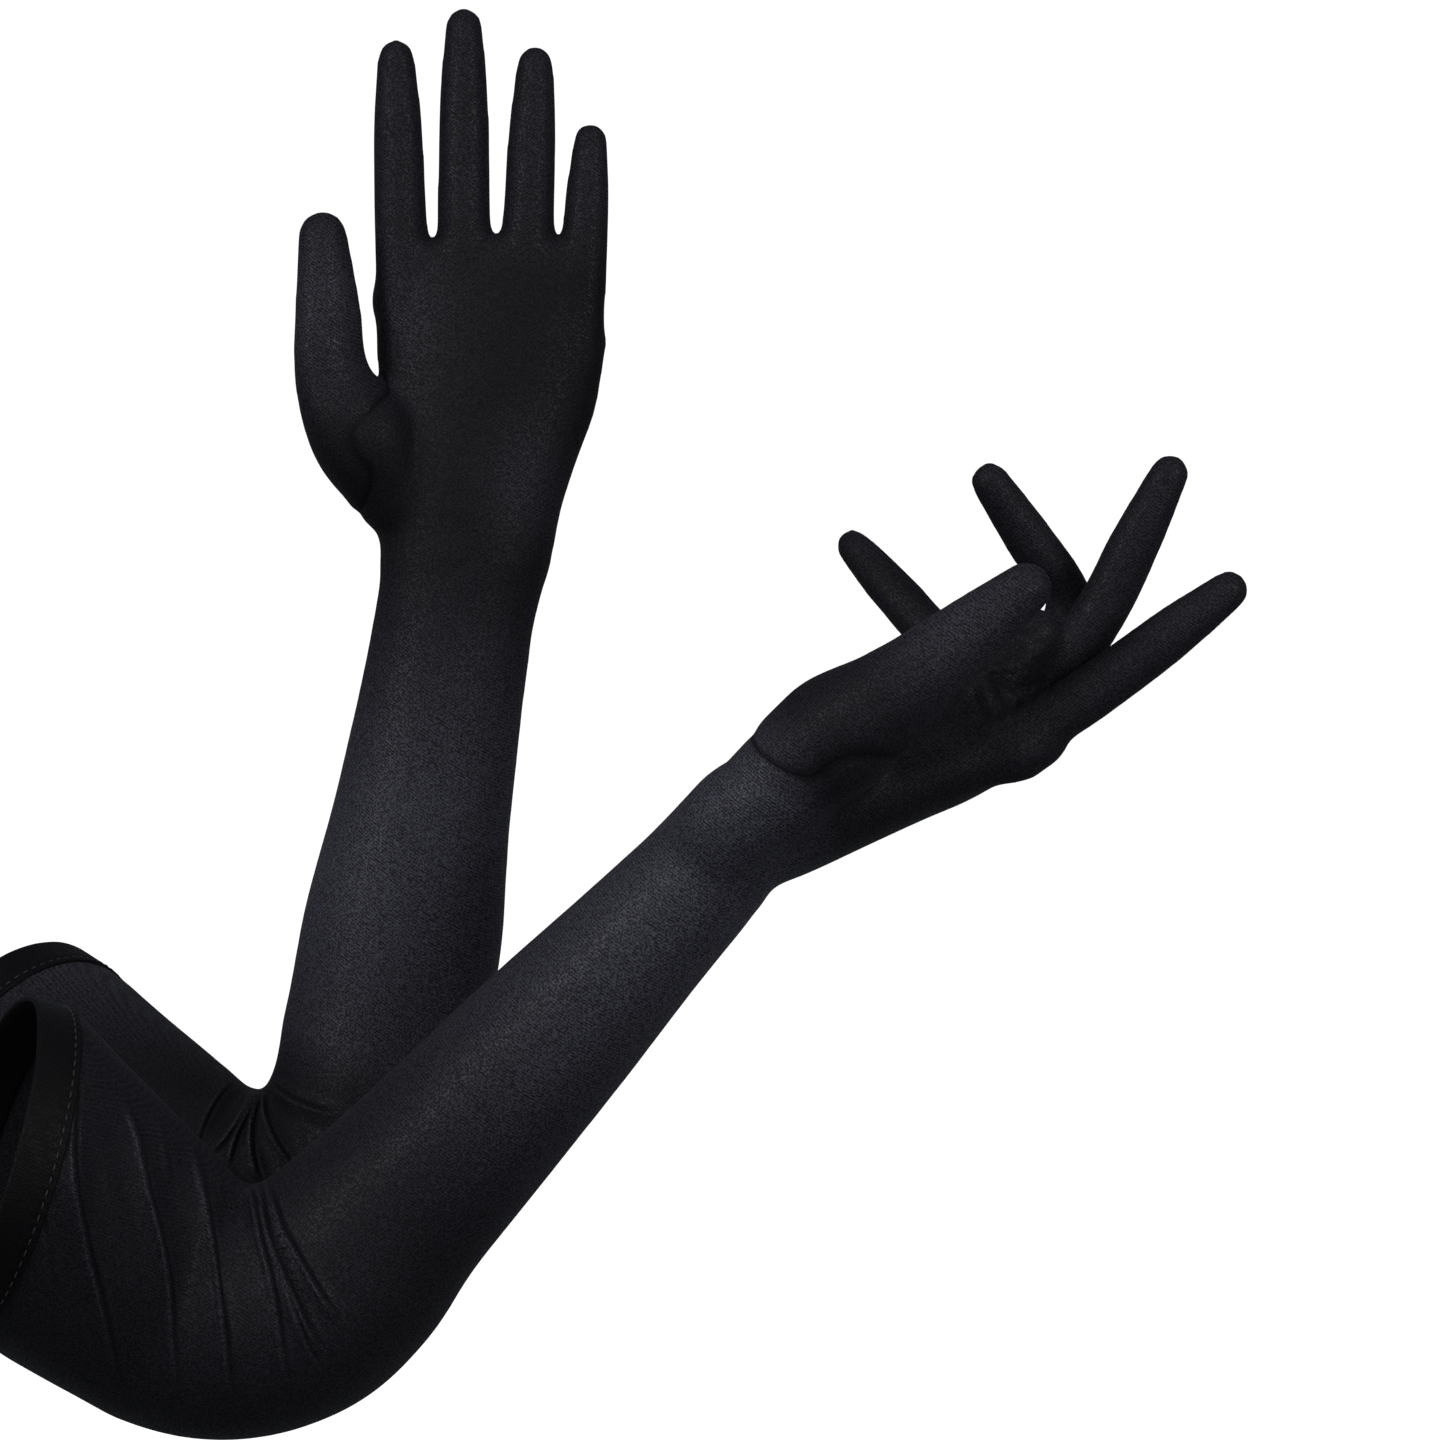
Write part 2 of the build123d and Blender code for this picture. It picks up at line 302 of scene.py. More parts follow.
def linked(name, shape, material=None):
    # a bmesh becomes an object of that name
    mesh = bpy.data.meshes.new(name)
    shape.to_mesh(mesh)
    shape.free()
    piece = bpy.data.objects.new(name, mesh)
    bpy.context.scene.collection.objects.link(piece)
    if material:
        mesh.materials.append(material)
    return piece


makeStudio()
print("studio and camera set")


def jointNamed(name):
    return next(j for j in frame["joints"] if j["name"] == name)


def jointSpot(name):
    return Vector(jointNamed(name)["pos_m"])


def jointAxis(name):
    return Vector(jointNamed(name)["axis"]).normalized()


def mountNamed(name):
    return next(m for m in frame["record"]["mounts"] if m["name"] == name)


def farPoint(node, spot):
    # the point of a CAD node that is farthest from a spot
    return max((v.co for v in frame["nodes"][node].data.vertices), key=lambda p: (p - spot).length).copy()


def heading(angle, lean=0.0):
    flat = cos(radians(lean))
    return Vector((cos(radians(angle)) * flat, sin(radians(lean)), sin(radians(angle)) * flat))


fingerNames = ("index", "middle", "ring", "little")

# the arm of each glove: angles as in the pattern, sizes in millimetres
arms = {
    "right": {"upper": -28.5, "fore": 46.8, "lean": -2.9, "wide": (0, 1, 0), "thumbSide": 1},
    "left": {"upper": -22.0, "fore": 80.0, "lean": -4.5, "wide": (1, 0, 0), "thumbSide": -1},
}
sleeveShape = {
    "cuff": 54.9, "hem": 15.0, "crookGap": 3.4, "upper": 43.2, "elbow": 37.8,
    "fore": ((0.14, 35.6, 33.4), (0.3, 35.0, 31.0), (0.55, 30.7, 27.4), (0.8, 28.0, 22.8), (0.93, 27.9, 21.2)),
}
handShape = {
    # reach from the wrist, towards the thumb, rise, half width, half depth
    "rings": ((0, -0.5, 0, 29.8, 20.8), (14, -1.0, 0, 32.0, 20.5), (30, -4.0, -0.5, 34.0, 20.0),
              (52, -8.0, -1.6, 37.6, 18.6), (74, -8.5, -2.4, 39.6, 17.0), (90, -8.5, -1.6, 39.2, 13.8),
              (100, -8.5, 0, 38.0, 9.5)),
    "knuckleRise": 9.2,
}
# radius at the root, middle joint, last joint and tip, and where the web ends past the knuckle
fingerShape = {
    "index": (9.2, 9.1, 8.6, 6.7, 11.0), "middle": (9.1, 9.1, 8.6, 6.7, 15.5),
    "ring": (9.1, 8.9, 8.4, 6.6, 18.0), "little": (8.4, 8.2, 7.7, 6.1, 18.0),
}
# radius of each knuckle, and how far it is set to the back
knuckleShape = {"index": (11.0, 4.6), "middle": (10.4, 3.8), "ring": (10.0, 3.4), "little": (9.0, 3.0)}
# the thumb: where it rises out of the palm, half widths and half depths from there to the tip
thumbShape = {
    "root": {"right": (10, 24, 17), "left": (20, 24, 5)}, "cut": 3.0, "pattern": (12.4, 8.5),
    "wide": {"right": (16.0, 19.8, 14.6, 12.2, 8.9), "left": (14.0, 18.6, 14.4, 12.2, 8.9)},
    "deep": {"right": (16.5, 20.6, 13.0, 10.0, 8.3), "left": (14.0, 18.2, 12.2, 10.0, 8.3)},
}


# forms that fill the palm: how far they reach back along the forearm, their paths in the hand and radii
palmForms = {
    "right": ((24, 6, ((-4, 18, 9), (14, 27, 15)), (15.0, 17.5, 17.0)),
              (0, 0, ((80, 8, 6), (96, 6, 16), (112, 3, 23)), (9.5, 10.5, 9.0))),
    "left": (),
}


class Arm:
    # the skeleton of one glove, read from the joints, with its stations in metres
    def __init__(self, side):
        self.side, self.look = side, arms[side]
        mount = mountNamed(side + "_cuff")
        self.cuff, self.inward = Vector(mount["pos_m"]), -Vector(mount["axis"]).normalized()
        self.crook, self.wrist = jointSpot(side + "_elbow"), jointSpot(side + "_wrist")
        self.foreWay = heading(self.look["fore"], self.look["lean"])
        self.upperWay = heading(self.look["upper"])
        self.setHand()
        self.fingers = {name: self.fingerLine(name) for name in fingerNames}
        self.thumb = self.thumbLine()

    def setHand(self):
        flex = jointAxis(self.side + "_wrist")
        reach = jointSpot(self.side + "_middle_knuckle") - self.wrist
        flat = reach - flex * reach.dot(flex)
        tilt = atan2(handShape["knuckleRise"] * mm, flat.length)
        self.handWay = (Matrix.Rotation(-tilt, 3, flex) @ flat).normalized()
        self.palmOut = flex.cross(self.handWay)
        self.thumbWay = flex * self.look["thumbSide"]

    def inHand(self, reach, side, rise=0.0):
        return self.wrist + (self.handWay * reach + self.thumbWay * side + self.palmOut * rise) * mm

    def handPlace(self, points):
        # points as reach, towards the thumb and rise, in millimetres
        axes = np.array([self.handWay, self.thumbWay, self.palmOut])
        return (points - np.array(self.wrist)) @ axes.T / mm

    def fingerLine(self, name):
        rootRadius, middleRadius, lastRadius, tipRadius, web = (v * mm for v in fingerShape[name])
        knuckle, bend = jointSpot(f"{self.side}_{name}_knuckle"), jointSpot(f"{self.side}_{name}_middle")
        flex = jointAxis(f"{self.side}_{name}_middle")
        way = (bend - knuckle).normalized()
        folds = flex.cross(way)
        end = farPoint(f"{self.side}_{name}_tip", bend)
        reach = end - bend
        reach -= flex * reach.dot(flex)
        tipWay = (Matrix.Rotation(atan2(middleRadius, reach.length), 3, flex) @ reach).normalized()
        tipFolds = flex.cross(tipWay)
        root = knuckle - folds * rootRadius
        deep = root - self.handWay * 16 * mm
        middle = bend - (folds + tipFolds).normalized() * middleRadius
        tip = bend - tipFolds * middleRadius + tipWay * (reach.dot(tipWay) - tipRadius)
        last = middle.lerp(tip, 0.48)
        radii = (rootRadius * 0.9, rootRadius, middleRadius, lastRadius, tipRadius)
        return {
            "path": (deep, root, middle, last, tip), "radii": radii, "knuckle": knuckle, "way": way,
            "bend": bend, "tipWay": tipWay, "web": web, "flex": flex,
        }

    def thumbLine(self):
        pivot, flex = jointSpot(self.side + "_thumb_swing"), jointAxis(self.side + "_thumb_swing")
        reach = farPoint(self.side + "_thumb_stall", pivot) - pivot
        reach -= flex * reach.dot(flex)
        baseRadius, tipRadius = (r * mm for r in thumbShape["pattern"])
        way = (Matrix.Rotation(atan2(baseRadius, reach.length), 3, flex) @ reach).normalized()
        folds = flex.cross(way)
        base = pivot - folds * baseRadius
        root = self.inHand(*thumbShape["root"][self.side])
        tip = base + way * (reach.dot(way) - tipRadius)
        path = (root, root.lerp(base, 0.5), base, base.lerp(tip, 0.52), tip)
        wide, deep = (tuple(r * mm for r in thumbShape[key][self.side]) for key in ("wide", "deep"))
        return {"path": path, "radii": wide, "deep": deep, "way": way, "flex": flex, "pivot": pivot}

    def elbowStation(self, angle, radius):
        out = heading(angle - 90)
        centre = self.crook + out * (sleeveShape["crookGap"] + radius) * mm
        return centre, heading(angle), Vector((0, 1, 0)), radius, radius

    def armStations(self):
        # centre, direction, wide side, half width, half depth from past the cuff to the knuckles
        shape, look = sleeveShape, self.look
        cuff, wide = shape["cuff"], Vector((0, 1, 0))
        stations = [(self.cuff + self.inward * away * mm, self.inward, wide, cuff, cuff)
                    for away in (-6, shape["hem"])]
        upper, fore = look["upper"], look["fore"]
        # the cloth runs straight from the hem to the elbow
        start, (end, endWay, _, radius, _) = stations[-1][0], self.elbowStation(upper, shape["upper"])
        for share in (0.3, 0.6, 0.85):
            way = self.inward.lerp(endWay, share).normalized()
            size = cuff + (radius - cuff) * share
            stations.append((start.lerp(end, share), way, wide, size, size))
        for share in (0.0, 0.25, 0.5, 0.75, 1.0):
            radius = shape["upper"] + (shape["elbow"] - shape["upper"]) * share
            stations.append(self.elbowStation(upper + (fore - upper) * share, radius))
        start = stations[-1][0]
        length = (self.wrist - start).length
        way = (self.wrist - start) / length
        wide = Vector(look["wide"])
        stations += [(start + way * length * share, way, wide, a, b) for share, a, b in shape["fore"]]
        for reach, side, rise, a, b in handShape["rings"]:
            spot = self.inHand(reach, side, rise)
            stations.append((spot, self.handWay, self.thumbWay, a, b))
        return stations


armOf = {side: Arm(side) for side in arms}
print("skeleton read")


def smoothPath(rows, spots):
    # a smooth run through rows of numbers, read at spots from 0 to 1 by distance
    rows = np.array(rows, float)
    gaps = np.linalg.norm(np.diff(rows[:, :3], axis=0), axis=1)
    along = np.concatenate([[0], np.cumsum(np.maximum(gaps, 1e-6))])
    slopes = np.gradient(rows, along, axis=0)
    at = np.clip(np.array(spots), 0, 1) * along[-1]
    cell = np.clip(np.searchsorted(along, at, side="right") - 1, 0, len(along) - 2)
    width = along[cell + 1] - along[cell]
    t = ((at - along[cell]) / width)[:, None]
    width = width[:, None]
    low, high = rows[cell], rows[cell + 1]
    return ((2 * t**3 - 3 * t**2 + 1) * low + (t**3 - 2 * t**2 + t) * width * slopes[cell]
            + (-2 * t**3 + 3 * t**2) * high + (t**3 - t**2) * width * slopes[cell + 1])


def roundEnd(rings, end, step):
    # the rings of a half-round end, from the tube outwards
    centre, wide, deep, (half, depth) = rings[end, 0:3], rings[end, 3:6], rings[end, 6:9], rings[end, 9:11]
    out = centre - rings[step, 0:3]
    out = out / np.linalg.norm(out)
    size = min(half, depth)
    cap = []
    for angle in np.linspace(0.12, 1.0, 9) * pi / 2:
        left = max(cos(angle), 0.004)
        cap.append((*(centre + out * size * sin(angle)), *wide, *deep, half * left, depth * left))
    return cap


def skinned(shape, rows, steps, around):
    # a closed tube through rows of centre, wide axis, deep axis, half width and half depth
    rings = smoothPath(rows, np.linspace(0, 1, steps))
    wide, deep = rings[:, 3:6], rings[:, 6:9]
    wide = wide / np.linalg.norm(wide, axis=1)[:, None]
    deep = deep - wide * (deep * wide).sum(1)[:, None]
    rings[:, 3:6], rings[:, 6:9] = wide, deep / np.linalg.norm(deep, axis=1)[:, None]
    rings = np.array(roundEnd(rings, 0, 1)[::-1] + list(rings) + roundEnd(rings, -1, -2))
    count = len(rings)
    tube = bmesh.new()
    bmesh.ops.create_grid(tube, x_segments=around, y_segments=count - 1, size=1.0)
    for v in tube.verts:
        turn, ring = (v.co.x + 1) * pi, rings[int(round((v.co.y + 1) / 2 * (count - 1)))]
        v.co = Vector(ring[0:3] + ring[3:6] * cos(turn) * ring[9] + ring[6:9] * sin(turn) * ring[10])
    bmesh.ops.remove_doubles(tube, verts=tube.verts, dist=1e-6)
    bmesh.ops.holes_fill(tube, edges=tube.edges, sides=around + 2)
    bmesh.ops.recalc_face_normals(tube, faces=tube.faces)
    part = bpy.data.meshes.new("form")
    tube.to_mesh(part)
    tube.free()
    shape.from_mesh(part)
    bpy.data.meshes.remove(part)


def limbRows(path, radii, side, deeps=None):
    # rows for a round limb, whose wide side is held across the hand
    rows = []
    for i, (spot, radius) in enumerate(zip(path, radii)):
        way = (path[min(i + 1, len(path) - 1)] - path[max(i - 1, 0)]).normalized()
        deep = side.cross(way).normalized()
        rows.append((*spot, *way.cross(deep), *deep, radius, deeps[i] if deeps else radius))
    return rows


def gloveForm(arm):
    # arm, palm, fingers and thumb as one bmesh of overlapping forms
    shape = bmesh.new()
    rows = []
    for spot, way, wide, a, b in arm.armStations():
        across = (wide - way * wide.dot(way)).normalized()
        rows.append((*spot, *across, *way.cross(across), a * mm, b * mm))
    for i in range(1, len(rows)):
        # the wide side keeps its sense along the arm
        if Vector(rows[i][3:6]).dot(Vector(rows[i - 1][3:6])) < 0:
            rows[i] = (*rows[i][:3], *(-v for v in rows[i][3:9]), *rows[i][9:])
    skinned(shape, rows, 170, 96)
    for name, line in arm.fingers.items():
        skinned(shape, limbRows(line["path"], line["radii"], line["flex"]), 60, 40)
        # the knuckle stands out on the back of the hand
        size, back = knuckleShape[name]
        top = line["path"][1] - arm.palmOut * back * mm
        path = (top - arm.handWay * 17 * mm, top - arm.handWay * 8 * mm, top)
        skinned(shape, limbRows(path, (size * 0.8 * mm, size * mm, size * 0.86 * mm), arm.thumbWay), 20, 32)
    line = arm.thumb
    skinned(shape, limbRows(line["path"], line["radii"], line["flex"], line["deep"]), 60, 40)
    # where the hand is bent back, the thumb's ball slopes to the wrist and the palm bunches up
    for back, across, path, radii in palmForms[arm.side]:
        heel = arm.wrist - arm.foreWay * back * mm + arm.thumbWay * across * mm
        path = ([heel] if back else []) + [arm.inHand(*spot) for spot in path]
        skinned(shape, limbRows(path, [r * mm for r in radii], arm.thumbWay), 30, 40)
    return shape


remeshing = {"voxel": 1.5 * mm, "rounds": 14}


def remeshed(shape):
    # one closed skin round all the forms
    blank = linked("form", shape)
    melt = blank.modifiers.new("melt", "REMESH")
    melt.mode, melt.voxel_size, melt.adaptivity = "VOXEL", remeshing["voxel"], 0.0
    mesh = bpy.data.meshes.new_from_object(blank.evaluated_get(bpy.context.evaluated_depsgraph_get()))
    bpy.data.objects.remove(blank)
    skin = bmesh.new()
    skin.from_mesh(mesh)
    bpy.data.meshes.remove(mesh)
    smoothed(skin, remeshing["rounds"], 0.5)
    return skin


def smoothed(shape, rounds, factor):
    axes = {"use_axis_x": True, "use_axis_y": True, "use_axis_z": True}
    for _ in range(rounds):
        bmesh.ops.smooth_vert(shape, verts=shape.verts, factor=factor, **axes)


# folds as lines in the plane that the arm bends in, in millimetres from the crook:
# start, middle, end and strength
folds = {
    "right": (
        ((-52, 36), (-50, 0), (-41, -66), 0.9), ((-40, 29), (-28, -8), (-22, -69), 1.0),
        ((-20, 15), (-10, -24), (-5, -70), 1.0), ((-4, 0), (6, -24), (13, -66), 0.9),
        ((0, 1), (12, -28), (24, -54), 1.0), ((3, 1), (17, -24), (29, -43), 0.9),
        ((-14, 10), (-11, 0), (-9, -10), 0.6), ((-29, 22), (-26, 12), (-24, 0), 0.6),
        ((8, -12), (15, -40), (24, -62), 0.6), ((-60, 34), (-62, 4), (-58, -34), 0.35),
        ((4, 4), (12, 8), (24, 12), 0.5),
    ),
    "left": (
        ((-2, -1), (-10, -16), (-15, -20), 0.9), ((-1, -2), (-6, -14), (-9, -26), 0.9),
        ((0, -2), (-2, -16), (2, -32), 1.0), ((1, -1), (4, -14), (15, -30), 0.9),
        ((3, 0), (14, -6), (28, -10), 0.6), ((-8, 3), (-18, -10), (-22, -30), 0.6),
    ),
}
foldShape = {"width": 2.9, "height": 1.5, "valley": 0.5}
ripples = {"broad": 0.35, "fine": 0.05, "wrist": 0.165}
# where the palm is bunched, which lifts the cloth and is painted near-black as shade: its middle and spread along
# and across the hand, and how high it lies
gathers = {"right": 1.0, "left": 0.0, "reach": (95, 15), "side": (6, 15), "rise": (2, 8)}
# where the satin is drawn tight, from 0 to 1, a paleness that is partly painted light: the forearm's middle and
# spread, the least anywhere, and how tight the fingers, the thumb and the heel of the hand are
tautAndPaintedLight = {"fore": {"right": (0.95, 0.6), "left": (0.42, 0.38)}, "least": {"right": 0.16, "left": 0.0},
        "fingers": 0.20, "thumb": 0.60, "heel": 0.30, "elbow": 36.0}
# the oval where the thumb piece is set in: its long line in the hand, and its radii along it
thumbSeam = {
    "right": ((29, 29, 28), (45, 34, 34), 20.5), "left": ((33, 38, 6), (58, 47, 11), 19.0),
    "free": 17.0, "ridge": 0.45,
}


def nearLine(flat, fold):
    # signed distance from each point in the bending plane to a curved fold line, and how far along it is
    start, middle, end = (np.array(v, float) for v in fold[:3])
    t = np.linspace(0, 1, 17)[:, None]
    bend = 2 * middle - (start + end) / 2
    curve = (1 - t) ** 2 * start + 2 * t * (1 - t) * bend + t**2 * end
    best, share = np.full(len(flat), 1e3), np.zeros(len(flat))
    for i in range(len(curve) - 1):
        run = curve[i + 1] - curve[i]
        rel = flat - curve[i]
        at = np.clip((rel @ run) / (run @ run), 0, 1)
        gap = rel - at[:, None] * run
        away = np.linalg.norm(gap, axis=1) * np.sign(run[0] * gap[:, 1] - run[1] * gap[:, 0] + 1e-9)
        nearer = np.abs(away) < np.abs(best)
        best[nearer], share[nearer] = away[nearer], (i + at[nearer]) / (len(curve) - 1)
    fade = np.clip(np.minimum(share * 6, (1 - share) * 3.5), 0, 1) ** 0.7
    return best, fade * fold[3]


def foldFields(arm, spots, normals):
    # distance to the nearest fold of each group and its strength, and how far all folds lift the cloth
    flat = ((spots - np.array(arm.crook)) / mm)[:, [0, 2]]
    flat = flat + 1.4 * noiseAt(spots, 0.03, 1)[:, None] * np.array([[1.0, 0.2]])
    flat = flat + np.sign(normals[:, 1:2]) * np.array([[1.5, 0.0]])
    facing = np.clip(1.35 * np.abs(normals[:, 1]) + 0.1, 0, 1)
    fields, ridge = [], np.zeros(len(spots))
    for group in range(foldMark["groups"]):
        best, size = np.full(len(spots), 50.0), np.zeros(len(spots))
        for fold in folds[arm.side][group::foldMark["groups"]]:
            away, strength = nearLine(flat, fold)
            width = foldShape["width"]
            beside = np.exp(-(((np.abs(away) - 1.9 * width) / width) ** 2))
            lift = np.exp(-((away / width) ** 2)) - foldShape["valley"] * beside
            ridge += foldShape["height"] * strength * lift
            nearer = np.abs(away) < np.abs(best)
            best[nearer], size[nearer] = away[nearer], strength[nearer]
        # strength ends before the next fold of the group begins
        fields += [best, size * facing * np.clip(6.0 - np.abs(best), 0, 1)]
    return fields, ridge * facing


def noiseAt(points, size, seed):
    shift = Vector((seed * 7.3, seed * 3.1, seed * 1.7))
    return np.array([noise.noise(Vector(p) / size + shift) for p in points])


def foldHeights(arm, spots, normals):
    # how far each point of the skin stands out, in millimetres
    rel = (spots - np.array(arm.crook)) / mm
    height = foldFields(arm, spots, normals)[1]
    height = height + ripples["broad"] * noiseAt(spots, 0.035, 2) * np.clip(1.2 - rel[:, 2] / 260, 0.35, 1)
    height = height + ripples["fine"] * noiseAt(spots, 0.009, 3)
    hand = arm.handPlace(spots)
    return height + wristFolds(hand) + palmGathers(arm, hand, normals)


def wristFolds(hand):
    reach, side = hand[:, 0], hand[:, 1]
    near = np.exp(-((reach + 4) / 16) ** 2)
    lines = np.sin((reach + 0.25 * side) / 2.6 + 1.3 * np.sin(side / 9.0)) * np.exp(-((reach + 5) / 9) ** 2)
    return ripples["wrist"] * near * lines


def gatherAt(arm, hand):
    # how strongly the cloth is bunched, at the foot of the curled fingers; the satin there is also painted
    # near-black as shade
    middle, spread = (np.array([gathers[key][i] for key in ("reach", "side", "rise")]) for i in (0, 1))
    along, across, rise = ((hand - middle) / spread).T
    return gathers[arm.side] * np.exp(-(along**2) - across**2) * np.clip(rise, 0, 1)


def palmGathers(arm, hand, normals):
    # the cloth bunches on the palm side, in front of the curled fingers
    reach, side = hand[:, 0], hand[:, 1]
    inside = np.clip(normals @ np.array(arm.palmOut) + 0.2, 0, 1)
    waves = np.sin(reach / 0.95 + 1.6 * np.sin(side / 4.0) + 0.35 * side)
    waves += 0.7 * np.sin(reach / 1.7 - 0.3 * side)
    return inside * gatherAt(arm, hand) * waves


def thumbSeamField(arm, spots):
    # signed distance in metres to the oval where the thumb piece is set in: below 0 inside it
    hand = arm.handPlace(spots)
    first, second, radius = thumbSeam[arm.side]
    base, tip = (arm.handPlace(np.array([p]))[0] for p in (arm.thumb["path"][2], arm.thumb["path"][4]))
    fields = []
    for start, end, reach in ((first, second, radius), (base, tip, thumbSeam["free"])):
        start, run = np.array(start, float), np.array(end, float) - np.array(start, float)
        at = np.clip(((hand - start) @ run) / (run @ run), 0, 1)
        fields.append(np.linalg.norm(hand - start - at[:, None] * run, axis=1) - reach)
    near, free = fields
    soft = 4.0
    blend = np.clip(0.5 + 0.5 * (free - near) / soft, 0, 1)
    return (free * (1 - blend) + near * blend - soft * blend * (1 - blend)) * mm


def stretchAndPaintedLightAt(arm, spots):
    # the satin is palest where it is drawn tight: over the forearm, the fingers and the thumb; this paleness is
    # partly painted light, and the right glove is painted paler throughout
    start = np.array(arm.elbowStation(arm.look["fore"], tautAndPaintedLight["elbow"])[0])
    run = np.array(arm.wrist) - start
    along = (spots - start) @ run / (run @ run)
    hand = arm.handPlace(spots)
    reach, side = hand[:, 0], hand[:, 1]
    middle, width = tautAndPaintedLight["fore"][arm.side]
    fore = np.exp(-(((along - middle) / width) ** 2)) * np.clip((30 - reach) / 25, 0, 1)
    fore *= np.clip((along + 0.02) / 0.14, 0, 1)
    limbs = tautAndPaintedLight["fingers"] * np.clip((reach - 92) / 25, 0, 1)
    thumb = arm.handPlace(np.array([arm.thumb["path"][3]]))[0]
    onThumb = tautAndPaintedLight["thumb"] * np.exp(-((np.linalg.norm(hand - thumb, axis=1) / 34) ** 2))
    heel = tautAndPaintedLight["heel"] * np.exp(-(((reach - 22) / 22) ** 2) - ((side + 22) / 16) ** 2)
    least = tautAndPaintedLight["least"][arm.side] + 0 * fore
    return np.clip(np.maximum.reduce([fore, limbs, onThumb, heel, least]), 0, 1)


# where the skin is cut into pieces: along the forearm, behind each middle joint,
# and how near the crook is always sleeve and the wrist always hand, in millimetres
cuts = {
    "sleeve": 0.52, "tipBack": {"index": 8, "middle": 9, "ring": 9, "little": 5},
    "nearCrook": 90, "nearWrist": 60, "nearCuff": 110,
}


def nearestLimb(arm, spots):
    # which finger or thumb each spot belongs to, or none
    lines = dict(arm.fingers, thumb=arm.thumb)
    names = list(lines)
    away = []
    for name in names:
        path, radii = lines[name]["path"][1:], lines[name]["radii"][1:]
        best = np.full(len(spots), 1e9)
        for i in range(len(path) - 1):
            start, run = np.array(path[i]), np.array(path[i + 1] - path[i])
            at = np.clip(((spots - start) @ run) / (run @ run), 0, 1)
            radius = radii[i] + (radii[i + 1] - radii[i]) * at
            best = np.minimum(best, np.linalg.norm(spots - start - at[:, None] * run, axis=1) / radius)
        away.append(best)
    away = np.array(away)
    limb = away.argmin(axis=0)
    limb[away.min(axis=0) > 1.75] = -1
    return limb, names


def faceSpots(shape):
    return np.array([f.calc_center_median() for f in shape.faces], float).reshape(-1, 3)


def cutWithin(shape, faces, spot, way):
    edges = {e for f in faces for e in f.edges}
    verts = {v for f in faces for v in f.verts}
    inside = list(faces) + list(edges) + list(verts)
    bmesh.ops.bisect_plane(shape, geom=inside, plane_co=spot, plane_no=way, dist=1e-6)


def zonePlanes(arm):
    # each finger and thumb is cut once or twice: place, direction and the zone beyond
    planes = []
    for name, line in arm.fingers.items():
        start, end = fingerCuts(name, line)
        planes += [(name, name + "Root", start, line["way"]), (name, name + "Tip", end, line["way"])]
    return planes + [("thumb", "thumbStall", thumbCut(arm.thumb), arm.thumb["way"])]


def fingerCuts(name, line):
    # past the web, and behind the middle joint
    back = cuts["tipBack"][name] * mm
    return line["knuckle"] + line["way"] * line["web"], line["bend"] - line["way"] * back


def thumbCut(line):
    return line["pivot"] + line["way"] * thumbShape["cut"] * mm


def sleeveCut(arm):
    start = arm.elbowStation(arm.look["fore"], sleeveShape["elbow"])[0]
    return start.lerp(arm.wrist, cuts["sleeve"]), (arm.wrist - start).normalized()


def cutSkin(arm, shape):
    # cuts the skin along every join line, so that the pieces share their edges exactly
    middle, way = sleeveCut(arm)
    cutWithin(shape, list(shape.faces), middle, way)
    for limbName, _, spot, way in zonePlanes(arm):
        limb, names = nearestLimb(arm, faceSpots(shape))
        number = names.index(limbName)
        shape.faces.ensure_lookup_table()
        cutWithin(shape, [f for f, i in zip(shape.faces, limb) if i == number], spot, way)


def zonesOf(arm, shape):
    # names the zone of each face
    spots = faceSpots(shape)
    middle, way = sleeveCut(arm)
    zones = np.where((spots - np.array(middle)) @ np.array(way) < 0, "sleeve", "hand").astype(object)
    zones[np.linalg.norm(spots - np.array(arm.crook), axis=1) < cuts["nearCrook"] * mm] = "sleeve"
    zones[np.linalg.norm(spots - np.array(arm.wrist), axis=1) < cuts["nearWrist"] * mm] = "hand"
    limb, names = nearestLimb(arm, spots)
    for limbName, zone, spot, way in zonePlanes(arm):
        beyond = (spots - np.array(spot)) @ np.array(way) > 0
        zones[(limb == names.index(limbName)) & beyond & (zones != "sleeve")] = zone
    return zones


normalNames = ("normalX", "normalY", "normalZ")


def nearCuff(arm, shape):
    return [f for f in shape.faces if (f.calc_center_median() - arm.cuff).length < cuts["nearCuff"] * mm]


